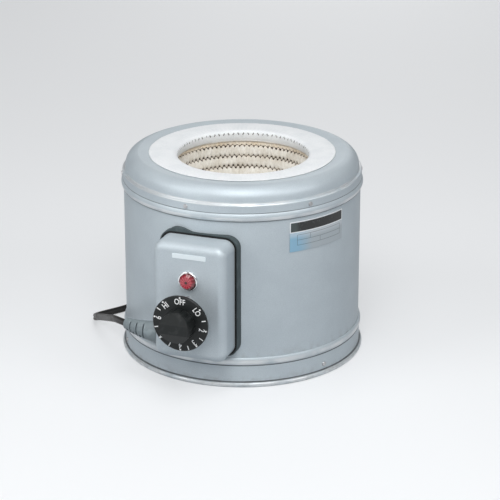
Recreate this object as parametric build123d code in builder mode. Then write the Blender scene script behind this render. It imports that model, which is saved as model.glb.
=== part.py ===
from build123d import *
import os
from math import asin, cos, degrees, pi, radians, sin, sqrt, tan

# Laboratory heating mantle for a one-litre round flask, with its power regulator in a box on the
# front. Millimetres. The origin is on the barrel's axis where the foot stands, +Z is up, and the
# control box faces -Y. An azimuth is measured from the front, -Y, towards +X.

# ---- driving dimensions: the casing ----
overall_h = 188.7      # floor to the crown of the top cover
flask_d = 131.0        # one-litre round flask, from which the radii follow
lip_room = 13.5        # outside of the bowl to the opening of the cover
casing_room = 25.2     # opening of the cover to the outside of the barrel
sheet = 0.8            # steel of the barrel, base ring, cover, can and bottom plate
slip = 0.2             # gap between one shell and the one it slides over
seat = 0.2             # gap left where a soft or bolted piece seats
edge_ease = 0.1        # slack that keeps a fillet off the end of its run
hem_proud = 1.2        # how far a rolled hem stands out of its wall
base_ring_h = 28.3     # floor to the upper edge of the base ring
base_hem_h = 7.2       # height of the base ring's rolled hem
foot_out = 2.7         # how far the foot roll reaches beyond the ring's wall
foot_roll_r = 2.4      # section radius of the foot roll
foot_flat = 0.15       # how much of the roll is worn flat where it stands
plate_z = 6.0          # underside of the bottom plate and of the barrel
plate_flange_h = 12.0  # upturned flange of the bottom plate
vent_count = 12
vent_r = 4.5
vent_inset = 15.3      # can's wall to the circle of vents

# ---- the top cover ----
cover_h = 30.4         # crown to the lower edge of the cover
band_share = 0.503     # of the cover's height, from its lower edge to the step
cover_hem_h = 7.6
dome_inset = 2.7       # step from the band in to the dome
shoulder_share = 0.795 # rounding of the dome's shoulder, of the height above the step
crown_fall = 1.1       # how far the crown falls from the shoulder to the opening
lip_bend = 2.0         # bend of the turned-down lip
lip_depth = 7.0        # crown to the lip's lower edge

# ---- the heating bowl and what surrounds it ----
flask_gap = 1.0        # slack of the flask in the bowl's valleys
bowl_drop = 12.7       # crown of the cover to the bowl's equator
bowl_wall = 4.5        # knitted glass yarn with the wire in it
row_pitch = 10.05      # one knitted row, along the bowl's curve
row_rise = 1.3         # how far a row swells into the bowl
first_row = 3.7        # equator to the first valley, downwards
bowl_rim = 2.4         # equator to the bowl's upper edge, upwards
collar_lap = 1.7       # how far the white cloth collar laps over the lip
collar_brim = 0.6      # thickness of the collar where it laps over the lip
collar_roll = 2.0      # rounding of the collar into its mouth
throat_in = 3.9        # how far the collar's mouth is narrower than the bowl
collar_hang = 3.5      # how far the collar's hanging part is wider than the bowl
collar_pad = 3.6       # thickness of the collar between lip and mouth
wire_r = 1.0           # sheathed resistance wire
riser_r = 0.6          # bare wire that joins the rings
can_gap = 12.4         # heat-shield can to the outside of the barrel
pack_floor = 13.6      # glass wool between the bowl and the can's floor
bush_r = 2.3           # ceramic bush round each heater lead
lead_r = 0.9
insulated_r = 1.3      # supply lead with its insulation
lead_slack = 0.5       # how straight a supply lead runs into its far end
lead_dip_share = 0.75  # where the supply leads dip to the block, of the can's radius
block_w = 14.0         # ceramic terminal block
block_h = 16.0
block_end = 7.0        # block beyond its outer poles
block_corner = 1.5

# ---- the control box ----
box_w = 68.0
box_bottom = 34.5
box_drop = 15.1        # lower edge of the cover to the box's top
box_off = 2.3          # outside of the barrel to the box's open back
box_depth = 25.5
box_wall = 1.2
box_corner = 9.0
box_round = 7.0        # rounding from the sides to the face
gasket_margin = 2.8
gasket_seat = 0.05
gasket_swell = 2.7     # bulge of the pinched rubber over the box's upper left corner
swell_from = 0.44      # where the bulge starts, peaks and ends, left of the middle, of the box's width
swell_peak = 0.33
swell_to = 0.06
window_share = 0.736   # opening through the gasket and the barrel, of the box's size
tab_w = 14.0
tab_t = 1.8
tab_h = 10.0
tab_leg = 12.0
box_screw_r = 1.9
box_head_r = 3.6
head_h = 2.0
head_seat = 0.5        # flat head off the curved wall that it clamps

# ---- regulator, knob and lamp ----
shaft_share = 0.3956   # height of the shaft in the box
shaft_r = 3.0
shaft_run = 0.05       # running clearance of the shaft in the switch
flat_depth = 0.6       # depth of the flat on the shaft
shaft_eye = 1.5        # gap round the shaft in the box's face
switch_w = 34.0
switch_share = 0.35    # height of the switch, of the box's
switch_depth = 22.0
shaft_bore = 17.6      # depth of the shaft's bore in the switch
shaft_in = 15.4        # length of the shaft in that bore
bracket_t = 1.6
switch_corner = 2.5
bracket_share = 0.38   # height of the bracket, of the box's
terminal_l = 8.0
screw_pitch_share = 0.285
switch_screw_r = 1.7
switch_head_r = 3.2
head_taper = 20        # rounding of the screw heads, in degrees
dial_r = 25.8
dial_t = 2.4
dial_stand = 20.5      # face of the box to the front of the dial
boss_r = 7.5
boss_gap = 3.5         # face of the box to the rear of the knob's boss
hub_r = 14.2
hub_h = 16.0           # front of the dial to the front of the grip
grip_half = 4.5        # half the height of the grip's front edge
grip_slope = 5.0       # how far the grip's faces fall back to the hub's rim
flute_count = 14
flute_r = 1.1
flute_l = 8.5
lamp_share = 0.698     # height of the lamp in the box
bezel_r = 9.1
bezel_t = 2.2
bezel_tube_r = 6.6
bezel_tube_t = 0.7
bezel_tube_l = 15.0
lens_r = 7.6
lens_sides = 12
lens_taper = 42        # slope of the lens's facets, in degrees
lens_h = 4.6
lens_seat = 1.0
lamp_fit = 0.1
lamp_nut_t = 3.0
lamp_nut_r = 9.4

# ---- small pieces on the casing ----
label_from = 42.7      # azimuth of the nameplate's first edge
label_sweep = 32.0     # degrees
label_drop = 3.8       # lower edge of the cover to the nameplate
label_h = 28.0
label_t = 0.35
label_glue = 0.2
strip_w = 31.5
strip_h = 4.4
strip_t = 0.3
strip_x = 0.8
strip_share = 0.784    # of the flat face above the lamp
cover_screw_count = 6
cover_screw_from = -6.7
cover_screw_up = 10.8  # above the cover's lower edge
base_screw_count = 3
base_screw_from = 62.6
base_screw_z = 9.8
small_screw_r = 1.3
small_head_r = 2.2
small_head_h = 0.9
small_screw_l = 6.0
small_head_taper = 25
drill_over = 1.0       # how far a drill starts outside the shells
drill_depth = 8.0
screw_fit = 0.1        # radial gap of a screw in its hole

# ---- strain relief and cord ----
relief_up = 17.1       # bottom of the box to the relief's axis
relief_setback = 12.8  # face of the box to the relief's axis
relief_l = 36.3        # along its curve, outside the box
relief_bend = 27.5     # degrees that it turns towards the back
relief_root = (8.2, 10.4)   # half depth and half height at the box
relief_tip = (4.4, 5.4)     # the same at the cord
relief_neck_r = 6.6
relief_flange_r = 8.4
relief_flange_t = 2.4
slot_first = 12.5
slot_pitch = 7.4
slot_count = 3
slot_w = 1.5
slot_share = 0.88      # of the relief's height, cut by each side slot
eye_r = 1.2            # round eye low in each rib
eye_up = 2.9           # relief's underside to the eye's middle
cord_w = 6.6           # width of the flat twin cord
cord_ease = 0.1        # gap under the cord where it lies
coil_r = 38.0          # middle of the put-away coil's turns
coil_azimuth = -160.0  # where the coil lies
coil_off = 9.7         # foot of the casing to the coil
cord_t = 3.6           # thickness of the flat cord, from one turn to the next
coil_abreast = 3       # turns side by side
coil_layers = 2
coil_layer_gap = 0.3
tie_gap = 0.3
tie_t = 1.0
tie_l = 6.0
plug_l = 24.0
plug_w = 24.0
plug_t = 13.0
plug_neck = 10.0
neck_root = 0.8        # how far the plug's neck is proud of the cord, at its tip and at the body
neck_swell = 2.2
plug_taper = 0.8
blade_l = 17.0
blade_w = 6.3
blade_t = 1.5
blade_pitch = 12.7

# ---- sizes that follow ----
bowl_r = flask_d / 2 + flask_gap
bowl_out = bowl_r + bowl_wall
lip_r = bowl_out + lip_room
collar_r = lip_r + collar_lap
collar_throat = bowl_r - throat_in
collar_back = bowl_r + collar_hang
barrel_r = lip_r + casing_room
can_r = barrel_r - can_gap
vent_circle_r = can_r - vent_inset
barrel_in = barrel_r - sheet
ring_in = barrel_r + slip
ring_out = ring_in + sheet
foot_r = ring_out + foot_out
cover_edge_z = overall_h - cover_h
step_z = cover_edge_z + band_share * cover_h
shoulder_r = shoulder_share * (overall_h - step_z)
dome_r = ring_out - dome_inset
flange_top = step_z - sheet - seat
barrel_top = flange_top - sheet
lip_z = overall_h - crown_fall
bowl_z = overall_h - bowl_drop
first_angle = degrees(first_row / bowl_r)
row_count = round(radians(90 - first_angle) * bowl_r / row_pitch)
row_angle = (90 - first_angle) / row_count
element_r = bowl_out + seat + wire_r
packing_in = element_r + wire_r + seat
can_floor_z = bowl_z - packing_in - pack_floor - seat - sheet
can_in = can_r - sheet
plate_top = plate_z + sheet
coil_lift = tie_gap + tie_t
box_top = cover_edge_z - box_drop
box_h = box_top - box_bottom
box_mid = (box_bottom + box_top) / 2
box_back = barrel_r + box_off
box_face = box_back + box_depth
window_w = window_share * box_w
window_h = window_share * box_h
shaft_z = box_bottom + shaft_share * box_h
lamp_z = box_bottom + lamp_share * box_h
relief_z = box_bottom + relief_up
switch_h = switch_share * box_h
bracket_h = bracket_share * box_h
switch_screw_pitch = screw_pitch_share * box_h
strip_z = lamp_z + bezel_r + strip_share * (box_top - box_round - lamp_z - bezel_r)
label_bottom = cover_edge_z - label_drop - label_h
inner_face = box_face - box_wall
dial_front = box_face + dial_stand
block_top = plate_top + block_h


def facing(depth, x=0.0, z=0.0):
    """Plane across the front axis at this depth, seen from the front: x right, y up."""
    return Plane(origin=(x, -depth, z), x_dir=(1, 0, 0), z_dir=(0, -1, 0))


def radial(azimuth, radius, z):
    """Plane on the casing at an azimuth, its normal pointing outwards."""
    a = radians(azimuth)
    return Plane(origin=(radius * sin(a), -radius * cos(a), z), x_dir=(cos(a), sin(a), 0),
                 z_dir=(sin(a), -cos(a), 0))


def on_bowl(radius, angle):
    """Point of a sphere about the bowl's centre, at an angle below its equator."""
    return (radius * cos(radians(angle)), bowl_z - radius * sin(radians(angle)))


def write(node, name):
    node.part.label = name
    export_step(node.part, f"parts/{name}.step")


os.makedirs("parts", exist_ok=True)
cover_screw_z = cover_edge_z + cover_screw_up
cover_screws_at = [cover_screw_from + 360 * k / cover_screw_count for k in range(cover_screw_count)]
base_screws_at = [base_screw_from + 360 * k / base_screw_count for k in range(base_screw_count)]


def drill(azimuths, z, radius, outer):
    """Radial holes through the shells, cut from the part being built."""
    for azimuth in azimuths:
        with BuildSketch(radial(azimuth, outer + drill_over, z)) as hole:
            Circle(radius)
        extrude(hole.sketch, amount=-drill_depth, mode=Mode.SUBTRACT)


# ---- casing ----
with BuildPart() as base_ring:
    with BuildSketch(Plane.XZ):
        with Locations(((ring_in + ring_out) / 2, (foot_roll_r + base_ring_h) / 2)):
            Rectangle(sheet, base_ring_h - foot_roll_r)
        with Locations((foot_r - foot_roll_r, foot_roll_r - foot_flat)):
            Circle(foot_roll_r)
        with Locations((foot_r - foot_roll_r, -foot_roll_r)):
            Rectangle(3 * foot_roll_r, 2 * foot_roll_r, mode=Mode.SUBTRACT)
        with BuildLine():
            ThreePointArc((ring_out, base_ring_h - base_hem_h),
                          (ring_out + hem_proud, base_ring_h - base_hem_h / 2), (ring_out, base_ring_h))
            Line((ring_out, base_ring_h), (ring_out, base_ring_h - base_hem_h))
        make_face()
    revolve(axis=Axis.Z)
    drill(base_screws_at, base_screw_z, small_screw_r + screw_fit, foot_r)
write(base_ring, "base_ring")

with BuildPart() as bottom_plate:
    with BuildSketch(Plane.XY.offset(plate_z)):
        Circle(barrel_in - slip)
    extrude(amount=plate_flange_h)
    with BuildSketch(Plane.XY.offset(plate_top)):
        Circle(barrel_in - slip - sheet)
    extrude(amount=plate_flange_h, mode=Mode.SUBTRACT)
    with BuildSketch(Plane.XY.offset(plate_z)):
        with PolarLocations(vent_circle_r, vent_count):
            Circle(vent_r)
    extrude(amount=sheet, mode=Mode.SUBTRACT)
    drill(base_screws_at, base_screw_z, small_screw_r + screw_fit, foot_r)
write(bottom_plate, "bottom_plate")

screws_up_down = [box_bottom + box_wall + tab_h / 2, box_top - box_wall - tab_h / 2]

with BuildPart() as barrel:
    with BuildSketch(Plane.XY.offset(plate_z)):
        Circle(barrel_r)
        Circle(barrel_in, mode=Mode.SUBTRACT)
    extrude(amount=barrel_top - plate_z)
    with BuildSketch(facing(box_back, z=box_mid)):
        RectangleRounded(window_w, window_h, box_corner / 2)
    extrude(amount=-box_back / 2, mode=Mode.SUBTRACT)
    for z in screws_up_down:
        with BuildSketch(facing(box_back, z=z)):
            Circle(box_screw_r + screw_fit)
        extrude(amount=-box_back / 2, mode=Mode.SUBTRACT)
    drill(base_screws_at, base_screw_z, small_screw_r + screw_fit, foot_r)
    drill(cover_screws_at, cover_screw_z, small_screw_r + screw_fit, foot_r)
write(barrel, "barrel")

with BuildPart() as top_cover:
    with BuildSketch(Plane.XZ):
        with BuildLine():
            FilletPolyline(
                (ring_out, cover_edge_z), (ring_out, step_z), (dome_r, step_z + sheet / 2),
                (dome_r, overall_h), (dome_r - shoulder_r, overall_h), (lip_r, lip_z),
                (lip_r, overall_h - lip_depth),
                radius=[sheet + edge_ease, sheet, shoulder_r - edge_ease, edge_ease, lip_bend])
            offset(amount=sheet, side=Side.LEFT)
        make_face()
        with BuildLine():
            ThreePointArc((ring_out - sheet / 4, cover_edge_z),
                          (ring_out + hem_proud, cover_edge_z + cover_hem_h / 2),
                          (ring_out - sheet / 4, cover_edge_z + cover_hem_h))
            Line((ring_out - sheet / 4, cover_edge_z + cover_hem_h), (ring_out - sheet / 4, cover_edge_z))
        make_face()
    revolve(axis=Axis.Z)
    drill(cover_screws_at, cover_screw_z, small_screw_r + screw_fit, foot_r)
write(top_cover, "top_cover")

with BuildPart() as cover_screws:
    for azimuth in cover_screws_at:
        with BuildSketch(radial(azimuth, ring_out, cover_screw_z)):
            Circle(small_head_r)
        extrude(amount=small_head_h, taper=small_head_taper)
        with BuildSketch(radial(azimuth, ring_out, cover_screw_z)):
            Circle(small_screw_r)
        extrude(amount=-small_screw_l)
write(cover_screws, "cover_screws")

with BuildPart() as base_screws:
    for azimuth in base_screws_at:
        with BuildSketch(radial(azimuth, ring_out, base_screw_z)):
            Circle(small_head_r)
        extrude(amount=small_head_h, taper=small_head_taper)
        with BuildSketch(radial(azimuth, ring_out, base_screw_z)):
            Circle(small_screw_r)
        extrude(amount=-small_screw_l)
write(base_screws, "base_screws")

# ---- heat shield, packing, bowl, element and collar ----
ring_angles = [first_angle + row_angle * k for k in range(row_count)]
lead_rings = [ring_angles[-4], ring_angles[-3]]
lead_places = [on_bowl(element_r, angle) for angle in lead_rings]

with BuildPart() as shield_can:
    with BuildSketch(Plane.XZ):
        with BuildLine():
            FilletPolyline(
                (0, can_floor_z), (can_r, can_floor_z), (can_r, barrel_top), (barrel_r, barrel_top),
                radius=[3 * sheet, 2 * sheet])
            offset(amount=sheet, side=Side.LEFT)
        make_face()
    revolve(axis=Axis.Z)
    with BuildSketch(Plane.XY.offset(can_floor_z)):
        with Locations(*[(0, y) for y, z in lead_places]):
            Circle(bush_r + screw_fit)
    extrude(amount=sheet, mode=Mode.SUBTRACT)
write(shield_can, "shield_can")

pack_r = can_in - 1.5 * seat
pack_top = lip_z - collar_pad - seat
pack_edge_z = overall_h - lip_depth - seat
pack_step_r = lip_r - 2 * sheet
pack_rim_r = sqrt(packing_in ** 2 - (pack_top - bowl_z) ** 2)
with BuildPart() as packing:
    with BuildSketch(Plane.XZ):
        with BuildLine():
            floor_z = can_floor_z + sheet + seat
            Polyline((0, bowl_z - packing_in), (0, floor_z), (pack_r, floor_z), (pack_r, pack_edge_z),
                     (pack_step_r, pack_edge_z), (pack_step_r, pack_top), (pack_rim_r, pack_top))
            ThreePointArc((pack_rim_r, pack_top), on_bowl(packing_in, 45), (0, bowl_z - packing_in))
        make_face()
    revolve(axis=Axis.Z)
    with BuildSketch(Plane.XY.offset(can_floor_z)):
        with Locations(*[(0, y) for y, z in lead_places]):
            Circle(bush_r + screw_fit)
    extrude(amount=packing_in, mode=Mode.SUBTRACT)
    floor_edges = packing.edges().filter_by(GeomType.CIRCLE).group_by(Axis.Z)[0]
    chamfer(floor_edges.sort_by(SortBy.RADIUS)[-1:], 2 * sheet)
write(packing, "glass_wool_packing")

rim_angle = -degrees(asin(bowl_rim / bowl_r))
valleys = [rim_angle] + ring_angles
bowl_eye = (0, on_bowl(bowl_r, valleys[-1])[1] + row_rise)
with BuildPart() as bowl:
    with BuildSketch(Plane.XZ):
        with BuildLine():
            for upper, lower in zip(valleys[:-1], valleys[1:]):
                swell = row_rise * (lower - upper) / row_angle
                ThreePointArc(on_bowl(bowl_r, upper), on_bowl(bowl_r - swell, (upper + lower) / 2),
                              on_bowl(bowl_r, lower))
            TangentArc(bowl_eye, on_bowl(bowl_r, valleys[-1]), tangent=(1, 0))
            Line(bowl_eye, (0, bowl_z - bowl_out))
            ThreePointArc((0, bowl_z - bowl_out), on_bowl(bowl_out, 45), on_bowl(bowl_out, rim_angle))
            Line(on_bowl(bowl_out, rim_angle), on_bowl(bowl_r, rim_angle))
        make_face()
    revolve(axis=Axis.Z)
write(bowl, "heating_bowl")

with BuildPart() as element:
    with BuildSketch(Plane.XZ):
        for angle in ring_angles:
            with Locations(on_bowl(element_r, angle)):
                Circle(wire_r)
    revolve(axis=Axis.Z)
    with BuildLine(Plane.YZ) as riser:
        CenterArc((0, bowl_z), element_r, 180 + ring_angles[0], ring_angles[-1] - ring_angles[0])
    with BuildSketch(Plane(origin=riser.line @ 0, z_dir=riser.line % 0)):
        Circle(riser_r)
    sweep()
write(element, "heating_element")

rim_z = bowl_z + bowl_r * sin(radians(-rim_angle))
flap_z = rim_z + 1.5 * seat
brim_z = lip_z + seat
with BuildPart() as collar:
    with BuildSketch(Plane.XZ):
        with BuildLine():
            mouth_top = (collar_throat + collar_roll, lip_z - collar_roll / 2)
            mouth_low = (bowl_r - row_rise, flap_z)
            Spline((collar_r, brim_z + collar_brim / 2), (collar_r - collar_roll / 2, brim_z + collar_brim),
                   ((collar_r + collar_throat) / 2, lip_z - seat), mouth_top)
            ThreePointArc(mouth_top, (collar_throat, (lip_z + flap_z) / 2), mouth_low)
            Polyline(mouth_low, (collar_back, flap_z), (collar_back, lip_z - collar_pad),
                     (lip_r - seat, lip_z - collar_pad), (lip_r - seat, brim_z), (collar_r, brim_z),
                     (collar_r, brim_z + collar_brim / 2))
        make_face()
    revolve(axis=Axis.Z)
write(collar, "cloth_collar")

with BuildPart() as bushes:
    for y, z in lead_places:
        with BuildSketch(Plane.XY.offset(can_floor_z - 2 * bush_r)):
            with Locations((0, y)):
                Circle(bush_r)
                Circle(lead_r + screw_fit, mode=Mode.SUBTRACT)
        extrude(amount=z - wire_r - 2 * bush_r - can_floor_z)
write(bushes, "lead_bushes")

with BuildPart() as heater_leads:
    for y, z in lead_places:
        with BuildSketch(Plane.XY.offset(block_top - block_h / 3)):
            with Locations((0, y)):
                Circle(lead_r)
        extrude(amount=z - wire_r - block_top + block_h / 3)
write(heater_leads, "heater_leads")

pole_ys = [y for y, z in lead_places]
block_y = sum(pole_ys) / 2
block_l = abs(pole_ys[0] - pole_ys[1]) + 2 * block_end
block_front = block_y - block_l / 2
block_mid = plate_top + block_h / 2
with BuildPart() as terminal_block:
    with BuildSketch(Plane.XY.offset(plate_top)):
        with Locations((0, block_y)):
            RectangleRounded(block_w, block_l, block_corner)
    extrude(amount=block_h)
    with BuildSketch(Plane.XY.offset(block_top)):
        with Locations(*[(0, y) for y in pole_ys]):
            Circle(lead_r + screw_fit)
    extrude(amount=-block_h / 2, mode=Mode.SUBTRACT)
    with BuildSketch(Plane.XY.offset(block_top)):
        with Locations((0, block_y)):
            Rectangle(block_w, lead_r)
    extrude(amount=-block_h / 4, mode=Mode.SUBTRACT)
    with BuildSketch(Plane(origin=(0, block_front, block_mid), z_dir=(0, 1, 0))):
        with GridLocations(block_w / 2, 0, 2, 1):
            Circle(lead_r + screw_fit)
    extrude(amount=block_end / 2, mode=Mode.SUBTRACT)
write(terminal_block, "terminal_block")

# ---- control box, its gasket and fixings ----
gasket_top = box_h / 2 + gasket_margin
with BuildPart() as box:
    with BuildSketch(facing(box_back, z=box_mid)):
        RectangleRounded(box_w, box_h, box_corner)
    extrude(amount=box_depth)
    fillet(box.faces().sort_by(Axis.Y)[0].edges(), box_round)
    offset(amount=-box_wall, openings=box.faces().sort_by(Axis.Y)[-1])
    with BuildSketch(facing(box_face, z=shaft_z)):
        Circle(shaft_r + shaft_eye)
        with GridLocations(0, switch_screw_pitch, 1, 2):
            Circle(switch_screw_r + screw_fit)
    extrude(amount=-2 * box_wall, mode=Mode.SUBTRACT)
    with BuildSketch(facing(box_face, z=lamp_z)):
        Circle(bezel_tube_r + screw_fit)
    extrude(amount=-2 * box_wall, mode=Mode.SUBTRACT)
    with BuildSketch(Plane(origin=(-box_w / 2, relief_setback - box_face, relief_z), z_dir=(1, 0, 0))):
        Circle(relief_neck_r + screw_fit)
    extrude(amount=2 * box_wall, mode=Mode.SUBTRACT)
write(box, "control_box")

with BuildPart() as gasket:
    with BuildSketch(facing(box_back, z=box_mid)):
        RectangleRounded(box_w + 2 * gasket_margin, box_h + 2 * gasket_margin, box_corner + gasket_margin)
        with BuildLine():
            bulge = Spline(
                (-swell_from * box_w, box_h / 2), (-swell_peak * box_w, gasket_top + gasket_swell),
                (-swell_to * box_w, gasket_top), tangents=[(0, 1), (1, 0)], tangent_scalars=[0.6, 0.8])
            Polyline(bulge @ 1, (-swell_to * box_w, box_h / 2), bulge @ 0)
        make_face()
        RectangleRounded(window_w, window_h, box_corner / 2, mode=Mode.SUBTRACT)
        for z in screws_up_down:
            with Locations((0, z - box_mid)):
                Circle(box_screw_r + screw_fit, mode=Mode.SUBTRACT)
    extrude(amount=-box_back / 8)
    with BuildSketch(Plane.XY):
        Circle(barrel_r + gasket_seat)
    extrude(amount=box_top + box_h, mode=Mode.SUBTRACT)
write(gasket, "box_gasket")

with BuildPart() as tabs:
    for z, inward in zip(screws_up_down, (1, -1)):
        with BuildSketch(facing(box_back + seat, z=z)):
            Rectangle(tab_w, tab_h)
            Circle(box_screw_r, mode=Mode.SUBTRACT)
        extrude(amount=tab_t)
        with BuildSketch(facing(box_back + seat, z=z - inward * (tab_h - tab_t) / 2)):
            Rectangle(tab_w, tab_t)
        extrude(amount=tab_leg)
write(tabs, "box_tabs")

with BuildPart() as box_screws:
    for z in screws_up_down:
        with BuildSketch(facing(barrel_in - head_seat, z=z)):
            Circle(box_head_r)
        extrude(amount=-head_h)
        with BuildSketch(facing(barrel_in - head_seat, z=z)):
            Circle(box_screw_r - screw_fit)
        extrude(amount=box_back + seat + 3 * tab_t - barrel_in + head_seat)
write(box_screws, "box_screws")

# ---- regulator switch, shaft and knob ----
with BuildPart() as switch:
    with BuildSketch(facing(inner_face, z=shaft_z)):
        RectangleRounded(switch_w, bracket_h, switch_corner)
    extrude(amount=-bracket_t)
    with BuildSketch(facing(inner_face - bracket_t, z=shaft_z)):
        RectangleRounded(switch_w, switch_h, switch_corner)
    extrude(amount=-switch_depth)
    with BuildSketch(facing(inner_face - bracket_t - switch_depth, z=shaft_z)):
        with GridLocations(switch_w / 2, switch_h / 3, 2, 2):
            Rectangle(bracket_t / 2, 4 * bracket_t)
    extrude(amount=-terminal_l)
    with BuildSketch(facing(inner_face, z=shaft_z)):
        Circle(shaft_r + shaft_run)
    extrude(amount=-shaft_bore, mode=Mode.SUBTRACT)
    with BuildSketch(facing(inner_face, z=shaft_z)):
        with GridLocations(0, switch_screw_pitch, 1, 2):
            Circle(switch_screw_r + screw_fit)
    extrude(amount=-4 * bracket_t, mode=Mode.SUBTRACT)
write(switch, "regulator_switch")

with BuildPart() as switch_screws:
    with BuildSketch(facing(box_face, z=shaft_z)):
        with GridLocations(0, switch_screw_pitch, 1, 2):
            Circle(switch_head_r)
    extrude(amount=head_h, taper=head_taper)
    with BuildSketch(facing(box_face, z=shaft_z)):
        with GridLocations(0, switch_screw_pitch, 1, 2):
            Circle(switch_screw_r)
    extrude(amount=-box_wall - 3 * bracket_t)
write(switch_screws, "switch_screws")

grip_front = dial_front + hub_h
shaft_back = inner_face - shaft_in
shaft_front = grip_front - hub_h / 2
with BuildPart() as shaft:
    with BuildSketch(facing(shaft_back, z=shaft_z)):
        Circle(shaft_r)
    extrude(amount=shaft_front - shaft_back)
    with BuildSketch(facing(box_face + boss_gap, z=shaft_z)):
        with Locations((0, -shaft_r)):
            Rectangle(2 * shaft_r, 2 * flat_depth)
    extrude(amount=shaft_front - box_face, mode=Mode.SUBTRACT)
write(shaft, "switch_shaft")

with BuildPart() as knob:
    with BuildSketch(facing(dial_front - dial_t, z=shaft_z)):
        Circle(dial_r)
    extrude(amount=dial_t)
    chamfer(knob.edges().group_by(Axis.Y)[0], dial_t / 4)
    with BuildSketch(facing(box_face + boss_gap, z=shaft_z)):
        Circle(boss_r)
    extrude(amount=dial_stand - boss_gap)
    with BuildSketch(facing(dial_front, z=shaft_z)):
        Circle(hub_r)
    extrude(amount=hub_h)
    with BuildSketch(Plane.YZ.offset(-hub_r)):
        for side in (1, -1):
            rim_front = -(grip_front - grip_slope)
            with BuildLine():
                Polyline((-grip_front, shaft_z + side * grip_half), (rim_front, shaft_z + side * hub_r),
                         (rim_front, shaft_z + side * 2 * hub_r), (-grip_front, shaft_z + side * 2 * hub_r),
                         close=True)
            make_face()
    extrude(amount=2 * hub_r, mode=Mode.SUBTRACT)
    with BuildSketch(facing(dial_front, z=shaft_z)):
        with PolarLocations(hub_r + flute_r / 3, flute_count):
            Circle(flute_r)
    extrude(amount=flute_l, mode=Mode.SUBTRACT)
    with BuildSketch(facing(box_face, z=shaft_z)):
        Circle(shaft_r + shaft_run)
    extrude(amount=shaft_front + shaft_run - box_face, mode=Mode.SUBTRACT)
write(knob, "dial_knob")

# ---- pilot lamp ----
with BuildPart() as bezel:
    with BuildSketch(facing(box_face, z=lamp_z)):
        Circle(bezel_r)
    extrude(amount=bezel_t)
    fillet(bezel.edges().group_by(Axis.Y)[0], bezel_t / 2)
    with BuildSketch(facing(box_face, z=lamp_z)):
        Circle(bezel_tube_r)
    extrude(amount=-bezel_tube_l)
    with BuildSketch(facing(box_face + bezel_t, z=lamp_z)):
        Circle(bezel_tube_r - bezel_tube_t)
    extrude(amount=-bezel_t - bezel_tube_l, mode=Mode.SUBTRACT)
    with BuildSketch(facing(box_face + bezel_t, z=lamp_z)):
        Circle(lens_r + lamp_fit)
    extrude(amount=-lens_seat, mode=Mode.SUBTRACT)
write(bezel, "lamp_bezel")

lens_back = box_face + bezel_t - lens_seat
with BuildPart() as lens:
    with BuildSketch(facing(lens_back, z=lamp_z)):
        RegularPolygon(lens_r, lens_sides)
    extrude(amount=lens_h / 2)
    with BuildSketch(facing(lens_back + lens_h / 2, z=lamp_z)):
        RegularPolygon(lens_r, lens_sides)
    extrude(amount=lens_h / 2, taper=lens_taper)
    with BuildSketch(facing(lens_back, z=lamp_z)):
        Circle(bezel_tube_r - bezel_tube_t - lamp_fit)
    extrude(amount=-bezel_tube_l / 3)
write(lens, "lamp_lens")

with BuildPart() as lamp:
    with BuildSketch(facing(lens_back - bezel_tube_l / 3 - seat, z=lamp_z)):
        Circle(bezel_tube_r - bezel_tube_t - lamp_fit)
    extrude(amount=-bezel_tube_l)
    with BuildSketch(facing(lens_back - 4 * bezel_tube_l / 3, z=lamp_z)):
        with GridLocations(bezel_tube_r, 0, 2, 1):
            Rectangle(2 * sheet, sheet)
    extrude(amount=-terminal_l / 2)
write(lamp, "lamp_body")

with BuildPart() as lamp_nut:
    with BuildSketch(facing(inner_face, z=lamp_z)):
        RegularPolygon(lamp_nut_r, 6)
        Circle(bezel_tube_r + screw_fit, mode=Mode.SUBTRACT)
    extrude(amount=-lamp_nut_t)
write(lamp_nut, "lamp_nut")

# ---- leads inside the casing ----
terminal_y = terminal_l / 2 - inner_face + bracket_t + switch_depth
terminal_x = switch_w / 4
terminal_reach = switch_h / 6 + 2 * bracket_t + seat
lamp_end_y = seat + terminal_l / 2 - lens_back + 4 * bezel_tube_l / 3
relief_end = (seat + box_wall + relief_flange_t + seat - box_w / 2, relief_setback - box_face, relief_z)
into_block = [(x, block_front - seat, block_mid) for x in (-block_w / 4, block_w / 4)]
sill_z = box_mid - window_h / 2 + 3 * insulated_r
switch_foot = shaft_z - terminal_reach
lead_paths = [
    ([(relief_end[0], relief_end[1] - 2 * insulated_r, relief_z),
      (-terminal_x - 5 * insulated_r, relief_end[1] + 2 * insulated_r, sill_z),
      (-terminal_x - insulated_r, terminal_y, sill_z + 3 * insulated_r),
      (-terminal_x, terminal_y, switch_foot)], (1, 0, 0), (0, 0, 1)),
    ([(terminal_x, terminal_y, switch_foot), (terminal_x, terminal_y + 3 * insulated_r, sill_z),
      (block_w / 2, -lead_dip_share * can_r, block_top + insulated_r), (block_w / 2, -can_r / 3, block_mid),
      into_block[1]], (0, 0, -1), (0, 1, 0)),
    ([(relief_end[0], relief_end[1] + 2 * insulated_r, relief_z),
      (-2 * terminal_x, -box_back - insulated_r, sill_z),
      (-block_w / 2, -lead_dip_share * can_r, block_top + insulated_r), (-block_w / 2, -can_r / 3, block_mid),
      into_block[0]], (1, 0, 0), (0, 1, 0)),
]
for side in (1, -1):
    lead_paths.append(
        ([(side * bezel_tube_r / 2, lamp_end_y, lamp_z), (side * terminal_x, terminal_y, lamp_z - bezel_r),
          (side * terminal_x, terminal_y, shaft_z + terminal_reach)], (0, 1, 0), (0, 0, -1)))
with BuildPart() as inner_leads:
    for points, start, end in lead_paths:
        with BuildLine() as lead:
            Spline(*points, tangents=[start, end], tangent_scalars=[1, lead_slack])
        with BuildSketch(Plane(origin=lead.line @ 0, z_dir=lead.line % 0)):
            Circle(insulated_r)
        sweep(path=lead.line)
write(inner_leads, "inner_leads")

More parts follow.
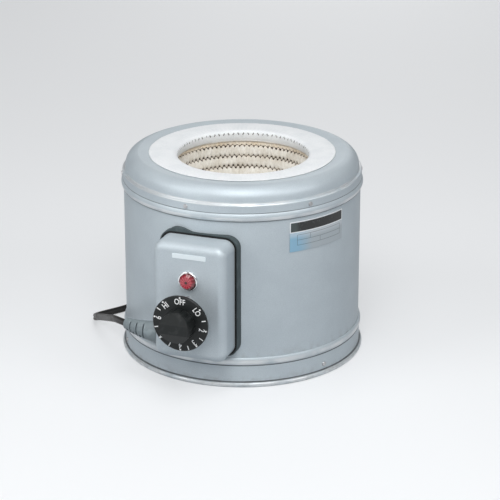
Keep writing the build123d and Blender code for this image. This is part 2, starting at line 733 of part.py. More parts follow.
# ---- nameplate and face strip ----
with BuildPart() as nameplate:
    label_edge = radial(label_from, 1, 0)
    with BuildSketch(Plane(origin=(0, 0, 0), x_dir=label_edge.z_dir, z_dir=-label_edge.x_dir)):
        with Locations((barrel_r + label_glue + label_t / 2, label_bottom + label_h / 2)):
            Rectangle(label_t, label_h)
    revolve(axis=Axis.Z, revolution_arc=label_sweep)
write(nameplate, "nameplate")

with BuildPart() as strip:
    with BuildSketch(facing(box_face, x=strip_x, z=strip_z)):
        RectangleRounded(strip_w, strip_h, strip_h / 8)
    extrude(amount=strip_t)
write(strip, "face_strip")

# ---- strain relief ----
bend_r = relief_l / radians(relief_bend)
relief_x = -box_w / 2
relief_y = relief_setback - box_face


def along_relief(s):
    """Plane across the relief at a length along its curve: local x level, local y up."""
    a = s / bend_r
    if s < 0:
        return Plane(origin=(relief_x - s, relief_y, relief_z), x_dir=(0, -1, 0), z_dir=(-1, 0, 0))
    return Plane(origin=(relief_x - bend_r * sin(a), relief_y + bend_r * (1 - cos(a)), relief_z),
                 x_dir=(-sin(a), -cos(a), 0), z_dir=(-cos(a), sin(a), 0))


def relief_half(s):
    """Half depth and half height of the relief at a length along its curve."""
    share = s / relief_l
    return [root + (tip - root) * share for root, tip in zip(relief_root, relief_tip)]


with BuildPart() as relief:
    for k in range(4):
        s = relief_l * k / 3
        with BuildSketch(along_relief(s)):
            Ellipse(*relief_half(s))
    loft()
    for k in range(slot_count):
        s = slot_first + slot_pitch * k
        half_depth, half_height = relief_half(s)
        with BuildSketch(along_relief(s - slot_w / 2)):
            for side in (1, -1):
                with Locations((side * half_depth, 0)):
                    Rectangle(half_depth, 2 * slot_share * half_height)
        extrude(amount=slot_w, mode=Mode.SUBTRACT)
        s += slot_pitch / 2
        half_depth, half_height = relief_half(s)
        lower = along_relief(s)
        with BuildSketch(Plane(origin=lower.origin, x_dir=lower.z_dir, z_dir=-lower.x_dir)):
            with Locations((0, eye_up - half_height)):
                Circle(eye_r)
        extrude(amount=2 * half_depth, both=True, mode=Mode.SUBTRACT)
    with BuildSketch(along_relief(-box_wall - seat)):
        Circle(relief_neck_r)
    extrude(until=Until.NEXT)
    with BuildSketch(along_relief(-box_wall - seat - relief_flange_t)):
        Circle(relief_flange_r)
    extrude(amount=relief_flange_t)
write(relief, "strain_relief")

# ---- cord: from the relief down to the floor, round behind, into a tied coil ----
cord_r = cord_w / 2
cord_rest = cord_r + cord_ease
coil_half = cord_t * (coil_abreast - 1) / 2 + cord_r
coil_h = (coil_layers - 1) * (cord_w + coil_layer_gap) + cord_w
coil_top = coil_lift + coil_h - cord_r
coil_low = coil_lift + cord_r
outer_turn = coil_r + cord_t * (coil_abreast - 1) / 2
coil_at = radial(coil_azimuth, foot_r + coil_off + coil_half + coil_r, 0).origin
tip = along_relief(relief_l).origin

# from the relief's tip; then azimuth, gap from the foot and height over the floor; then from the coil
from_tip = [(0, 0, 0), (-9.3, 5.2, -0.6), (-18.3, 14.8, -3.6)]
round_casing = [
    (-48.9, 17.4, 37.6), (-60.5, 16.5, 27.4), (-72.9, 22.6, 16.2), (-81.2, 30.8, 7.2), (-86.0, 36.6, 2.0),
    (-89.6, 35.8, 0.2), (-93.1, 30.2, 0), (-99.8, 21.2, 0), (-109.9, 16.1, 0), (-121.7, 15.9, 0),
    (-131.9, 24.3, 0.4),
]
into_coil = [(-0.3, -40.9, -0.2), (0, -16.9, 0)]
out_of_coil = [(16.9, 0, 0), (31.5, -0.5, -1.3), (43.5, -4.0, -3.9)]
to_plug = [(54.5, 30.1, 0.2), (63.5, 20.1, 0)]
cord_route = [(tip.X + x, tip.Y + y, tip.Z + z) for x, y, z in from_tip]
for azimuth, gap, lift in round_casing:
    here = radial(azimuth, foot_r + gap, cord_rest + lift).origin
    cord_route.append((here.X, here.Y, here.Z))
cord_route += [(coil_at.X - outer_turn + x, coil_at.Y + y, coil_low + z) for x, y, z in into_coil]
tail_route = [(coil_at.X + x, coil_at.Y + outer_turn + y, coil_top + z) for x, y, z in out_of_coil]
tail_route += [(coil_at.X + x, coil_at.Y + y, plug_t / 2 + z) for x, y, z in to_plug]


def route_radii(points):
    """Largest tangent arcs that the two runs at each corner allow."""
    radii = []
    for before, here, after in zip(points[:-2], points[1:-1], points[2:]):
        into = Vector(*here) - Vector(*before)
        out = Vector(*after) - Vector(*here)
        half_turn = radians(into.get_angle(out)) / 2
        radii.append(0.45 * min(into.length, out.length) / tan(half_turn))
    return radii


def cord_tube(points):
    """Round tube of the cord's width along a route."""
    with BuildPart() as tube:
        with BuildLine() as path:
            line = FilletPolyline(*points, radius=route_radii(points))
        with BuildSketch(Plane(origin=path.line @ 0, z_dir=path.line % 0)):
            Circle(cord_r)
        sweep(path=path.line)
    length = sum(edge.length for edge in line.edges())
    print("tube length", round(length, 1), "radii", [round(r, 1) for r in route_radii(points)],
          "volume share", round(tube.part.volume / (pi * cord_r ** 2 * length), 4))
    return tube


cord = cord_tube(cord_route)
write(cord, "cord")

tail = cord_tube(tail_route)
write(tail, "cord_tail")

with BuildPart() as coil:
    with BuildSketch(Plane.XY.offset(coil_lift)):
        with Locations((coil_at.X, coil_at.Y)):
            Circle(coil_r + coil_half)
            Circle(coil_r - coil_half, mode=Mode.SUBTRACT)
    extrude(amount=coil_h)
    fillet(coil.edges().group_by(Axis.Z)[0] + coil.edges().group_by(Axis.Z)[-1], cord_r - tie_gap)
write(coil, "cord_coil")

tie_x = coil_at.X + coil_r
tie_w = 2 * (coil_half + tie_gap)
tie_h = coil_h + 2 * tie_gap
with BuildPart() as tie:
    with BuildSketch(Plane(origin=(tie_x, coil_at.Y, coil_lift + coil_h / 2), z_dir=(0, -1, 0))):
        RectangleRounded(tie_w + 2 * tie_t, tie_h + 2 * tie_t, cord_r)
        RectangleRounded(tie_w, tie_h, cord_r - tie_t, mode=Mode.SUBTRACT)
    extrude(amount=tie_l / 2, both=True)
write(tie, "cord_tie")

plug_run = (Vector(*tail_route[-1]) - Vector(*tail_route[-2])).normalized()
plug_side = Vector(-plug_run.Y, plug_run.X, 0).normalized()
plug_dir = Vector(plug_side.Y, -plug_side.X, 0)
plug_at = Vector(*tail_route[-1])


def along_plug(distance):
    return Plane(origin=plug_at + plug_dir * distance, x_dir=plug_side, z_dir=plug_dir)


with BuildPart() as plug:
    with BuildSketch(along_plug(0)):
        Circle(cord_r + neck_root)
    with BuildSketch(along_plug(plug_neck)):
        Circle(cord_r + neck_swell)
    loft()
    with BuildSketch(along_plug(plug_neck)):
        RectangleRounded(plug_taper * plug_w, plug_t - 2 * neck_root, plug_t / 3)
    with BuildSketch(along_plug(plug_neck + plug_l / 2)):
        RectangleRounded(plug_w, plug_t, plug_t / 3)
    loft()
    with BuildSketch(along_plug(plug_neck + plug_l / 2)):
        RectangleRounded(plug_w, plug_t, plug_t / 3)
    extrude(amount=plug_l / 2)
write(plug, "plug_body")

with BuildPart() as blades:
    with BuildSketch(along_plug(plug_neck + plug_l)):
        with GridLocations(blade_pitch, 0, 2, 1):
            Rectangle(blade_t, blade_w)
    extrude(amount=blade_l)
write(blades, "plug_blades")
print("coil centre", round(coil_at.X, 1), round(coil_at.Y, 1), "half width", coil_half, "height", coil_h)
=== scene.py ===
from math import cos, exp, pi, radians, sin, sqrt

import bmesh
import bpy
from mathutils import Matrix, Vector, noise


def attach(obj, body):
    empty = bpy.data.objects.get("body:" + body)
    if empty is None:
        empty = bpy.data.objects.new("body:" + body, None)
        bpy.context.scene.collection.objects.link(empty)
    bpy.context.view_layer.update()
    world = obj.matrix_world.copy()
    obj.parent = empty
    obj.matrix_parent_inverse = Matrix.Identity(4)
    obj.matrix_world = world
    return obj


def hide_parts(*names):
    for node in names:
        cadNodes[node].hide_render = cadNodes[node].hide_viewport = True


# Heating mantle: the looks over the fixed frame. +Z up, the control box faces -Y.
# Sizes in the dictionaries are millimetres, apart from the lamps' places, which are metres.
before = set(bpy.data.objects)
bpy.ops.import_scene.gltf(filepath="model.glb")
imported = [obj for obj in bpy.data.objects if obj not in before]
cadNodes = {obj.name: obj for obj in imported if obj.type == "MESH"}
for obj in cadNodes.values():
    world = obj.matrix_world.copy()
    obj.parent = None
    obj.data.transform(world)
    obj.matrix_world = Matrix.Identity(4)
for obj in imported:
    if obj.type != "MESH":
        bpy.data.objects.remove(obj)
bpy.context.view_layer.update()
mm = 0.001

# Camera
viewPoint = {"lens": 148.76, "sensor": 36.0, "distance": 1940.8 * mm, "azimuth": 20.0, "elevation": 20.755,
             "aside": 7.2 * mm, "height": 90.4 * mm}


def placeCamera(v):
    turn, rise = radians(v["azimuth"]), radians(v["elevation"])
    back = Vector((sin(turn) * cos(rise), -cos(turn) * cos(rise), sin(rise)))
    target = Vector((cos(turn), sin(turn), 0)) * v["aside"] + Vector((0, 0, v["height"]))
    data = bpy.data.cameras.new("viewCamera")
    data.lens, data.sensor_width = v["lens"], v["sensor"]
    data.clip_start, data.clip_end = 0.1, 50
    camera = bpy.data.objects.new("viewCamera", data)
    camera.location = target + back * v["distance"]
    camera.rotation_euler = (-back).to_track_quat("-Z", "Y").to_euler()
    bpy.context.scene.collection.objects.link(camera)
    bpy.context.scene.camera = camera


placeCamera(viewPoint)
print("camera placed")


def meshPiece(name, corners, faces, smooth=True):
    mesh = bpy.data.meshes.new(name)
    mesh.from_pydata(corners, [], faces)
    mesh.validate()
    mesh.polygons.foreach_set("use_smooth", [smooth] * len(mesh.polygons))
    piece = bpy.data.objects.new(name, mesh)
    bpy.context.scene.collection.objects.link(piece)
    return piece


# Mains cord: flat twin lead, on edge, out of the relief, round behind and into a tied coil
cord = {
    "width": 6.6, "core": 1.75, "waist": 1.2, "grooveW": 0.55, "ringSteps": 20, "sweepStep": 3.0,
    "out": [(-68.9, -116.2, 51.6), (-78.2, -111.0, 51.0), (-87.2, -101.4, 48.0), (-98.5, -86.0, 41.0),
            (-113.0, -64.0, 30.8), (-130.0, -40.0, 19.6), (-142.5, -22.0, 10.6), (-149.6, -10.6, 5.4),
            (-149.2, -1.0, 3.6), (-143.4, 7.8, 3.4), (-132.6, 23.0, 3.4), (-121.8, 44.0, 3.4),
            (-110.0, 68.0, 3.4), (-102.5, 92.0, 3.8), (-99.4, 117.0, 4.4), (-99.1, 141.0, 4.6)],
    "coilAt": (-57.5, 157.9), "coilR": 38.0, "beside": 3.6, "low": 4.6, "layer": 6.9,
    "climb": 180, "shift": 45, "turns": 5.25, "perTurn": 24,
    "tail": [(-40.6, 199.5, 11.5), (-26.0, 199.0, 10.2), (-14.0, 195.5, 7.6), (-3.0, 188.0, 6.7),
             (6.0, 178.0, 6.5)],
}


def ease(value, low, high):
    t = min(1.0, max(0.0, (value - low) / (high - low)))
    return t * t * (3 - 2 * t)


def coilPoint(c, turned):
    # turned: degrees clockwise from the left side; steps in below, climbs inside, steps out above
    start, shift, lap = c["climb"], c["shift"], 360

    def step(at):
        return ease(turned, at, at + shift)

    inwards = step(start + shift) + step(start + lap + shift)
    outwards = step(start + 3 * lap - shift) + step(start + 4 * lap - shift)
    radius = c["coilR"] + c["beside"] * (1 - inwards + outwards)
    z = c["low"] + c["layer"] * step(start + 2 * lap)
    a = radians(180 - turned)
    return (c["coilAt"][0] + radius * cos(a), c["coilAt"][1] + radius * sin(a), z)


def cordPoints(c):
    count = round(c["turns"] * c["perTurn"])
    coil = [coilPoint(c, 360 * c["turns"] * k / count) for k in range(count + 1)]
    return c["out"] + coil + c["tail"]


def splineThrough(name, points):
    curve = bpy.data.curves.new(name, "CURVE")
    curve.dimensions = "3D"
    curve.resolution_u = 6
    spline = curve.splines.new("NURBS")
    spline.points.add(len(points) - 1)
    for control, place in zip(spline.points, points):
        control.co = (*[v * mm for v in place], 1)
    spline.order_u = 3
    spline.use_endpoint_u = True
    holder = bpy.data.objects.new(name, curve)
    bpy.context.scene.collection.objects.link(holder)
    bpy.context.view_layer.update()
    line = bpy.data.meshes.new_from_object(holder)
    path = [v.co.copy() for v in line.vertices]
    bpy.data.objects.remove(holder)
    return path


def spaced(path, step):
    # the same line, read off at an even spacing
    lengths = [0.0]
    for a, b in zip(path[:-1], path[1:]):
        lengths.append(lengths[-1] + (b - a).length)
    count = max(2, round(lengths[-1] / step))
    out, k = [], 0
    for i in range(count + 1):
        want = lengths[-1] * i / count
        while k < len(lengths) - 2 and lengths[k + 1] < want:
            k += 1
        share = (want - lengths[k]) / max(1e-9, lengths[k + 1] - lengths[k])
        out.append(path[k].lerp(path[k + 1], share))
    return out, lengths[-1]


def twinSection(c):
    # two round cores side by side with a shallow groove between them, width along the second axis
    half, core = c["width"] / 2, c["core"]
    ring = []
    for k in range(c["ringSteps"]):
        a = 2 * pi * k / c["ringSteps"]
        up = half * sin(a)
        lobe = sqrt(max(0.0, core ** 2 - max(0.0, abs(up) - (half - core)) ** 2))
        groove = (core - c["waist"]) * exp(-(up / c["grooveW"]) ** 2)
        ring.append((max(0.0, lobe - groove) * (1 if cos(a) >= 0 else -1), up))
    return ring


def sweepSection(name, path, ring):
    corners, faces = [], []
    for i, here in enumerate(path):
        along = (path[min(i + 1, len(path) - 1)] - path[max(i - 1, 0)]).normalized()
        side = along.cross(Vector((0, 0, 1))).normalized()
        up = side.cross(along).normalized()
        corners += [here + (side * s + up * u) * mm for s, u in ring]
    n = len(ring)
    for i in range(len(path) - 1):
        for k in range(n):
            m = (k + 1) % n
            faces.append((i * n + k, (i + 1) * n + k, (i + 1) * n + m, i * n + m))
    faces.append(tuple(range(n)))
    faces.append(tuple(reversed(range((len(path) - 1) * n, len(path) * n))))
    return meshPiece(name, corners, faces)


cordPath, cordLength = spaced(splineThrough("cordRoute", cordPoints(cord)), cord["sweepStep"] * mm)
mainsCord = sweepSection("mainsCord", cordPath, twinSection(cord))
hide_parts("cord", "cord_tail", "cord_coil")
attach(mainsCord, "casing")
print("cord laid,", round(cordLength, 3), "m")


# Finishes
class Val:
    # a socket, so that shader sums are written as plain arithmetic
    def __init__(self, finish, socket):
        self.finish, self.socket = finish, socket

    def math(self, operation, other, flip=False):
        ends = (other, self) if flip else (self, other)
        return self.finish.add("ShaderNodeMath", {"operation": operation}, {0: ends[0], 1: ends[1]})

    def __add__(self, other):
        return self.math("ADD", other)

    def __radd__(self, other):
        return self.math("ADD", other, True)

    def __sub__(self, other):
        return self.math("SUBTRACT", other)

    def __rsub__(self, other):
        return self.math("SUBTRACT", other, True)

    def __mul__(self, other):
        return self.math("MULTIPLY", other)

    def __rmul__(self, other):
        return self.math("MULTIPLY", other, True)

    def __gt__(self, other):
        return self.math("GREATER_THAN", other)

    def __lt__(self, other):
        return self.math("LESS_THAN", other)

    def __neg__(self):
        return self.math("MULTIPLY", -1.0)


class Finish:
    # one material; constants sit on the shader's own sockets, in the words of its panel
    def __init__(self, name, constants):
        self.material = bpy.data.materials.new(name)
        self.material.use_nodes = True
        self.tree = self.material.node_tree
        self.shader = self.tree.nodes["Principled BSDF"]
        for socket, value in constants.items():
            self.shader.inputs[socket].default_value = value
        place = self.add("ShaderNodeTexCoord", {}, {}, "Object")
        # in millimetres from here on
        self.place = self.add("ShaderNodeVectorMath", {"operation": "SCALE"}, {0: place, "Scale": 1 / mm})
        split = self.add("ShaderNodeSeparateXYZ", {}, {0: self.place}).socket.node
        self.x, self.y, self.z = [Val(self, out) for out in split.outputs]
        self.relief = None

    def add(self, kind, settings, sockets, out=0):
        node = self.tree.nodes.new(kind)
        for key, value in settings.items():
            setattr(node, key, value)
        for key, value in sockets.items():
            if isinstance(value, Val):
                self.tree.links.new(value.socket, node.inputs[key])
            elif isinstance(value, tuple) and len(value) == 3 and node.inputs[key].type == "RGBA":
                node.inputs[key].default_value = (*value, 1.0)
            else:
                node.inputs[key].default_value = value
        return Val(self, node.outputs[out])

    def noise(self, size, detail=2.0, stretch=(1, 1, 1), warp=0.0):
        # size: millimetres from one blotch to the next
        where = self.add("ShaderNodeVectorMath", {"operation": "MULTIPLY"}, {0: self.place, 1: stretch})
        return self.add("ShaderNodeTexNoise", {}, {"Vector": where, "Scale": 1.0 / size, "Detail": detail,
                                                   "Distortion": warp})

    def cells(self, size, feature="F1"):
        sockets = {"Vector": self.place, "Scale": 1.0 / size}
        return self.add("ShaderNodeTexVoronoi", {"feature": feature}, sockets, "Distance")

    def between(self, value, low, high):
        # soft step from 0 at low to 1 at high
        return self.add("ShaderNodeMapRange", {"interpolation_type": "SMOOTHSTEP"},
                        {"Value": value, "From Min": low, "From Max": high})

    def band(self, value, middle, half, soft):
        # 1 within half of the middle, falling to 0 over soft
        away = (value - middle).math("ABSOLUTE", 0.0)
        return 1 - self.between(away, half, half + soft)

    def turn(self):
        # azimuth from the front in degrees, towards +X
        return self.x.math("ARCTAN2", -self.y) * (180 / pi)

    def length(self, *sides):
        total = sides[0] * sides[0]
        for side in sides[1:]:
            total = total + side * side
        return total.math("SQRT", 0.0)

    def mix(self, factor, low, high):
        return self.add("ShaderNodeMix", {"data_type": "RGBA"}, {0: factor, 6: low, 7: high}, 2)

    def bump(self, height, depth, strength=1.0):
        sockets = {"Height": height, "Distance": depth * mm, "Strength": strength}
        if self.relief:
            sockets["Normal"] = self.relief
        self.relief = self.add("ShaderNodeBump", {}, sockets)
        self.feed("Normal", self.relief)

    def feed(self, socket, value):
        self.tree.links.new(value.socket, self.shader.inputs[socket])

    def on(self, *pieces):
        for piece in pieces:
            owner = cadNodes[piece] if isinstance(piece, str) else piece
            owner.data.materials.clear()
            owner.data.materials.append(self.material)


# dirt: the near black of the painted shade in the creases beside the beads
silver = {"light": (0.56, 0.625, 0.66), "dark": (0.48, 0.54, 0.58), "bare": (0.76, 0.77, 0.775),
          "dust": (0.40, 0.41, 0.41), "dirt": (0.035, 0.038, 0.040)}


def silverPaint(name, worn=(), dusty=None, shadedSeams=()):
    # worn: heights and half widths of the rolled edges that hands and the bench rub; there the colour is
    # also brightened as a painted highlight
    # dusty: heights between which dust grows; then the heights and half widths of the creases beside a
    # bead, painted near black as the shade that falls in them
    f = Finish(name, {"Specular IOR Level": 0.3})
    flake = f.noise(0.45, 1.0)
    cloud = f.noise(38.0, 3.0)
    sag = f.noise(11.0, 2.0, (1, 1, 0.25))
    colour = f.mix(f.between(flake * 0.6 + cloud * 0.4, 0.36, 0.66), silver["dark"], silver["light"])
    rough = 0.42 + cloud * 0.08 + flake * 0.05
    metal = 0.24 + flake * 0.10
    scratch = f.between(f.noise(1.6, 2.0, (1, 1, 0.05), 0.6), 0.70, 0.76)
    scratch = scratch * f.between(f.noise(22.0), 0.5, 0.62)
    colour = f.mix(scratch * 0.25, colour, silver["bare"])
    # rolled edges: real wear, and a painted highlight in the brighter, shinier colour
    for height, half in worn:
        rubAndHighlight = f.band(f.z, height, half, half) * f.between(f.noise(26.0, 3.0), 0.28, 0.60)
        colour = f.mix(rubAndHighlight * 0.7, colour, silver["bare"])
        metal = metal + rubAndHighlight * 0.3
        rough = rough - rubAndHighlight * 0.12
    if dusty:
        dust = f.between(f.z, dusty[0], dusty[1]) * f.between(f.noise(6.0, 5.0), 0.42, 0.70)
        colour = f.mix(dust * 0.35, colour, silver["dust"])
        rough = rough + dust * 0.2
    # painted shade: each crease is darkened towards near black, for the shadow beside its bead
    for height, half in shadedSeams:
        creaseShade = f.band(f.z, height, half, 0.35) * (0.55 + 0.4 * cloud)
        colour = f.mix(creaseShade, colour, silver["dirt"])
        metal = metal * (1 - creaseShade)
        rough = rough + creaseShade * 0.3
    f.feed("Base Color", colour)
    f.feed("Roughness", rough)
    f.feed("Metallic", metal)
    f.bump(flake, 0.012)
    f.bump(sag * 0.6 + f.noise(2.6, 2.0) * 0.4, 0.035)
    return f


silverPaint("silverBarrel", dusty=(40.0, 24.0)).on("barrel")
silverPaint("silverBaseRing", worn=((2.6, 1.2), (24.0, 1.6)), dusty=(14.0, 5.0),
            shadedSeams=((4.9, 0.3), (20.7, 0.3))).on("base_ring")
silverPaint("silverCover", worn=((160.5, 1.2), (174.0, 0.9)),
            shadedSeams=((158.3, 0.4), (166.0, 0.1))).on("top_cover")
silverPaint("silverBox").on("control_box")
print("paint mixed")


def sheetMetal(name, colour, rough, grain=(1, 1, 1), dull=0.0):
    f = Finish(name, {"Metallic": 0.9})
    brushed = f.noise(1.2, 3.0, grain)
    stain = f.noise(14.0, 4.0)
    darker = tuple(0.62 * c for c in colour)
    f.feed("Base Color", f.mix(f.between(stain * 0.7 + brushed * 0.3, 0.35, 0.7), darker, colour))
    f.feed("Roughness", rough + brushed * 0.14 + stain * 0.10 + dull)
    f.bump(brushed, 0.02)
    f.bump(f.cells(9.0), 0.02)
    return f


sheetMetal("zincPlate", (0.66, 0.67, 0.66), 0.28).on("bottom_plate", "box_tabs")
sheetMetal("shieldSheet", (0.74, 0.75, 0.76), 0.30, (1, 1, 6)).on("shield_can")
sheetMetal("screwHeads", (0.60, 0.60, 0.61), 0.20, (6, 6, 1)).on(
    "cover_screws", "base_screws", "box_screws", "switch_screws", "lamp_nut")
sheetMetal("turnedShaft", (0.66, 0.66, 0.67), 0.18, (1, 8, 1)).on("switch_shaft")
sheetMetal("heatedWire", (0.42, 0.36, 0.32), 0.35, (4, 4, 1), 0.1).on("heating_element")
sheetMetal("plugBrass", (0.80, 0.64, 0.30), 0.20, (1, 1, 4)).on("plug_blades")


def moulded(name, colour, rough, grain=0.0, shine=0.4):
    # grain: depth in millimetres of the moulded texture
    f = Finish(name, {"Specular IOR Level": shine})
    mottle = f.noise(3.5, 4.0)
    rubbed = f.between(f.noise(9.0, 3.0), 0.52, 0.72)
    paler = tuple(min(1.0, 1.35 * c + 0.012) for c in colour)
    f.feed("Base Color", f.mix(f.between(mottle * 0.5 + rubbed * 0.5, 0.2, 0.9), colour, paler))
    f.feed("Roughness", rough + mottle * 0.10 + rubbed * 0.08)
    f.bump(f.noise(0.5, 2.0), 0.004 + grain)
    f.bump(f.cells(1.1, "SMOOTH_F1"), 0.5 * grain + 0.002)
    return f


moulded("knobPlastic", (0.011, 0.013, 0.013), 0.34, 0.0, 0.3).on("dial_knob")
moulded("switchPhenolic", (0.030, 0.022, 0.018), 0.38, 0.01).on("regulator_switch", "lamp_body")
gasket = {"across": 68.0, "tall": 108.7, "middle": 88.85, "corner": 9.0, "gap": 1.4}


def pinchedRubber(name, g):
    # the box stands on the rubber; along its rim the rubber is painted near black, as painted shade in the
    # gap between them
    f = moulded(name, (0.058, 0.076, 0.080), 0.55, 0.03, 0.3)
    plain = Val(f, f.shader.inputs["Base Color"].links[0].from_socket)
    sideways = (f.x.math("ABSOLUTE", 0.0) - (g["across"] / 2 - g["corner"])).math("MAXIMUM", 0.0)
    updown = (f.z - g["middle"]).math("ABSOLUTE", 0.0)
    updown = (updown - (g["tall"] / 2 - g["corner"])).math("MAXIMUM", 0.0)
    away = f.length(sideways, updown) - g["corner"]
    f.feed("Base Color", f.mix(f.between(away, g["gap"], 1.6 * g["gap"]), (0.003, 0.003, 0.003), plain))
    return f


pinchedRubber("gasketRubber", gasket).on("box_gasket")
moulded("reliefRubber", (0.22, 0.26, 0.275), 0.42, 0.02).on("strain_relief")
moulded("plugPlastic", (0.035, 0.033, 0.032), 0.34, 0.01).on("plug_body")
moulded("leadInsulation", (0.30, 0.29, 0.27), 0.40, 0.01).on("inner_leads")
moulded("tieStrap", (0.020, 0.020, 0.021), 0.40, 0.02).on("cord_tie")
moulded("ceramicBody", (0.80, 0.77, 0.70), 0.55, 0.02).on("lead_bushes", "terminal_block")


def cordJacket(name):
    f = Finish(name, {"Specular IOR Level": 0.4})
    scuff = f.between(f.noise(7.0, 4.0), 0.48, 0.70)
    dirt = f.noise(1.4, 3.0)
    base = f.mix(scuff, (0.020, 0.018, 0.017), (0.042, 0.038, 0.034))
    f.feed("Base Color", f.mix(dirt * 0.5, base, (0.030, 0.029, 0.028)))
    f.feed("Roughness", 0.40 + scuff * 0.18 + dirt * 0.06)
    f.bump(f.noise(0.7, 2.0), 0.02)
    f.bump(f.noise(3.0, 2.0), 0.05)
    return f


cordJacket("twinJacket").on(mainsCord)


# Knitted bowl: rows of yarn loops, sewn edge to edge in zigzag, over a backing painted dark as shade
bowl = {"z": 176.0, "valleyR": 66.5, "rise": 1.3, "rim": 2.4, "first": 3.7, "pitch": 10.05, "wall": 4.5,
        "rib": 2.4, "ribDeep": 0.55, "across": 11, "perRib": 6, "tooth": 4.5, "toothHigh": 1.1,
        "gap": 0.25, "hole": 0.62, "tuck": 0.45, "backing": 68.4, "slack": 0.3, "uneven": 0.22,
        "lean": 0.35, "sway": 0.06, "ringSteps": 120, "shellSteps": 24, "poleGap": 0.02}


def rowEdges(b):
    # angles down from the bowl's brim: its upper rim, then each valley between two rows
    first = b["first"] / b["valleyR"]
    count = round((pi / 2 - first) * b["valleyR"] / b["pitch"])
    step = (pi / 2 - first) / count
    return [-b["rim"] / b["valleyR"]] + [first + step * k for k in range(count)]


def teethAlong(b, angle):
    # loops of two neighbouring rows mesh like teeth; their count falls with the row's radius
    return max(6, round(2 * pi * b["valleyR"] * cos(angle) / b["tooth"]))


def toothEdge(b, turned, share, side):
    # distance from the valley to a row's edge: side is 1 for the row above the valley, -1 below it
    wave = cos(turned)
    return share * (b["gap"] + b["hole"] * abs(wave) ** 3 - side * b["toothHigh"] * wave)


def knitRow(b, upper, lower, corners, faces):
    middle = (upper + lower) / 2
    ribs = max(6, 2 * round(pi * b["valleyR"] * cos(middle) / b["rib"]))
    around = ribs * b["perRib"]
    start = len(corners)
    long = (lower - upper) * b["valleyR"]
    share = long / b["pitch"]
    over, under = teethAlong(b, upper), teethAlong(b, lower)
    for i in range(around):
        rib, inRib = divmod(i, b["perRib"])
        ridge = sin(pi * inRib / b["perRib"])       # 0 in the groove between two ribs, 1 on a rib
        uneven = noise.noise(Vector((rib * 0.9, upper * 40, 3.0)))
        a = 2 * pi * i / around
        loose = 1 + b["slack"] * noise.noise(Vector((a * 11, upper * 7, 9.0)))
        # the topmost edge is hidden under the collar and has no teeth
        top = toothEdge(b, a * over, loose, -1) / long if upper > 0 else 0.0
        low = toothEdge(b, a * under, share * loose, 1) / long
        for j in range(b["across"]):
            v = top + j / (b["across"] - 1) * (1 - top - low)
            arch = sin(pi * j / (b["across"] - 1))
            out = b["rise"] * share * arch ** 0.6 - b["tuck"] * (1 - arch) ** 4
            out -= b["ribDeep"] * (1 - ridge) * (0.25 + 0.75 * arch)
            out += b["uneven"] * uneven * arch
            lean = b["lean"] / ribs * sin(pi * v) * (1 if rib % 2 else -1) + b["sway"] * uneven / ribs
            angle = upper + (lower - upper) * v
            radius = b["valleyR"] - out
            t = a + 2 * pi * lean
            corners.append((radius * cos(angle) * cos(t) * mm, radius * cos(angle) * sin(t) * mm,
                            (b["z"] - radius * sin(angle)) * mm))
    for i in range(around):
        n = (i + 1) % around
        for j in range(b["across"] - 1):
            faces.append((start + i * b["across"] + j, start + i * b["across"] + j + 1,
                          start + n * b["across"] + j + 1, start + n * b["across"] + j))


def lathe(profile, around, corners, faces):
    # profile: radius and height of each point, up the inner wall and down the outer one
    start = len(corners)
    for i in range(around):
        a = 2 * pi * i / around
        corners += [(r * cos(a) * mm, r * sin(a) * mm, z * mm) for r, z in profile]
    n = len(profile)
    for i in range(around):
        m = (i + 1) % around
        for j in range(n - 1):
            here, there = start + i * n + j, start + m * n + j
            faces.append((there, there + 1, here + 1, here))


def knitBowl(b):
    corners, faces = [], []
    edges = rowEdges(b)
    for upper, lower in zip(edges[:-1], edges[1:]):
        knitRow(b, upper, lower, corners, faces)
    knitRow(b, edges[-1], pi / 2 - b["poleGap"], corners, faces)
    outer = b["valleyR"] + b["wall"]
    rim = edges[0]
    angles = [rim + (pi / 2 - rim) * k / b["shellSteps"] for k in range(b["shellSteps"] + 1)]
    shell = [(b["backing"] * cos(a), b["z"] - b["backing"] * sin(a)) for a in reversed(angles)]
    shell += [(outer * cos(a), b["z"] - outer * sin(a)) for a in angles]
    lathe(shell, b["ringSteps"], corners, faces)
    return meshPiece("knitBowl", corners, faces)


yarnBowl = knitBowl(bowl)
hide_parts("heating_bowl")
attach(yarnBowl, "casing")


def yarn(name, b):
    f = Finish(name, {"Specular IOR Level": 0.25, "Sheen Weight": 0.25, "Sheen Roughness": 0.5})
    fromCentre = f.length(f.x, f.y, f.z - b["z"])
    # the backing and the yarn sunk deepest between the teeth are painted near black as shade; grooved: the
    # shaded edges of each row
    shadedDepth = f.between(fromCentre, b["valleyR"] + 0.55, b["valleyR"] + 1.1)
    blotch = f.noise(13.0, 3.0)
    fibre = f.noise(0.7, 2.0, (1, 1, 0.3))
    cream = f.mix(f.between(blotch * 0.6 + fibre * 0.4, 0.3, 0.7), (0.62, 0.575, 0.50), (0.82, 0.80, 0.75))
    # the topmost row has browned in the heat
    toast = f.mix(f.between(blotch * 0.5 + fibre * 0.5, 0.3, 0.7), (0.80, 0.66, 0.48), (0.93, 0.86, 0.75))
    firstSeam = b["z"] - b["first"]
    toasted = f.between(f.z + blotch * 1.5, firstSeam - 0.2, firstSeam + 1.8)
    colour = f.mix(toasted * 0.9, cream, toast)
    grooved = f.between(fromCentre, b["valleyR"] - 1.0, b["valleyR"] + 0.3)
    colour = f.mix(grooved * (0.4 - toasted * 0.3), colour, (0.50, 0.42, 0.32))
    f.feed("Base Color", f.mix(shadedDepth, colour, (0.055, 0.035, 0.024)))
    f.feed("Roughness", 0.78 + fibre * 0.2)
    twist = f.add("ShaderNodeTexWave", {"bands_direction": "DIAGONAL"},
                  {"Vector": f.place, "Scale": 0.55, "Distortion": 2.0, "Detail": 1.0})
    f.bump(twist * 0.6 + fibre * 0.4, 0.10)
    f.bump(f.cells(0.5), 0.05)
    return f


yarn("toastedYarn", bowl).on(yarnBowl)
print("bowl knitted")


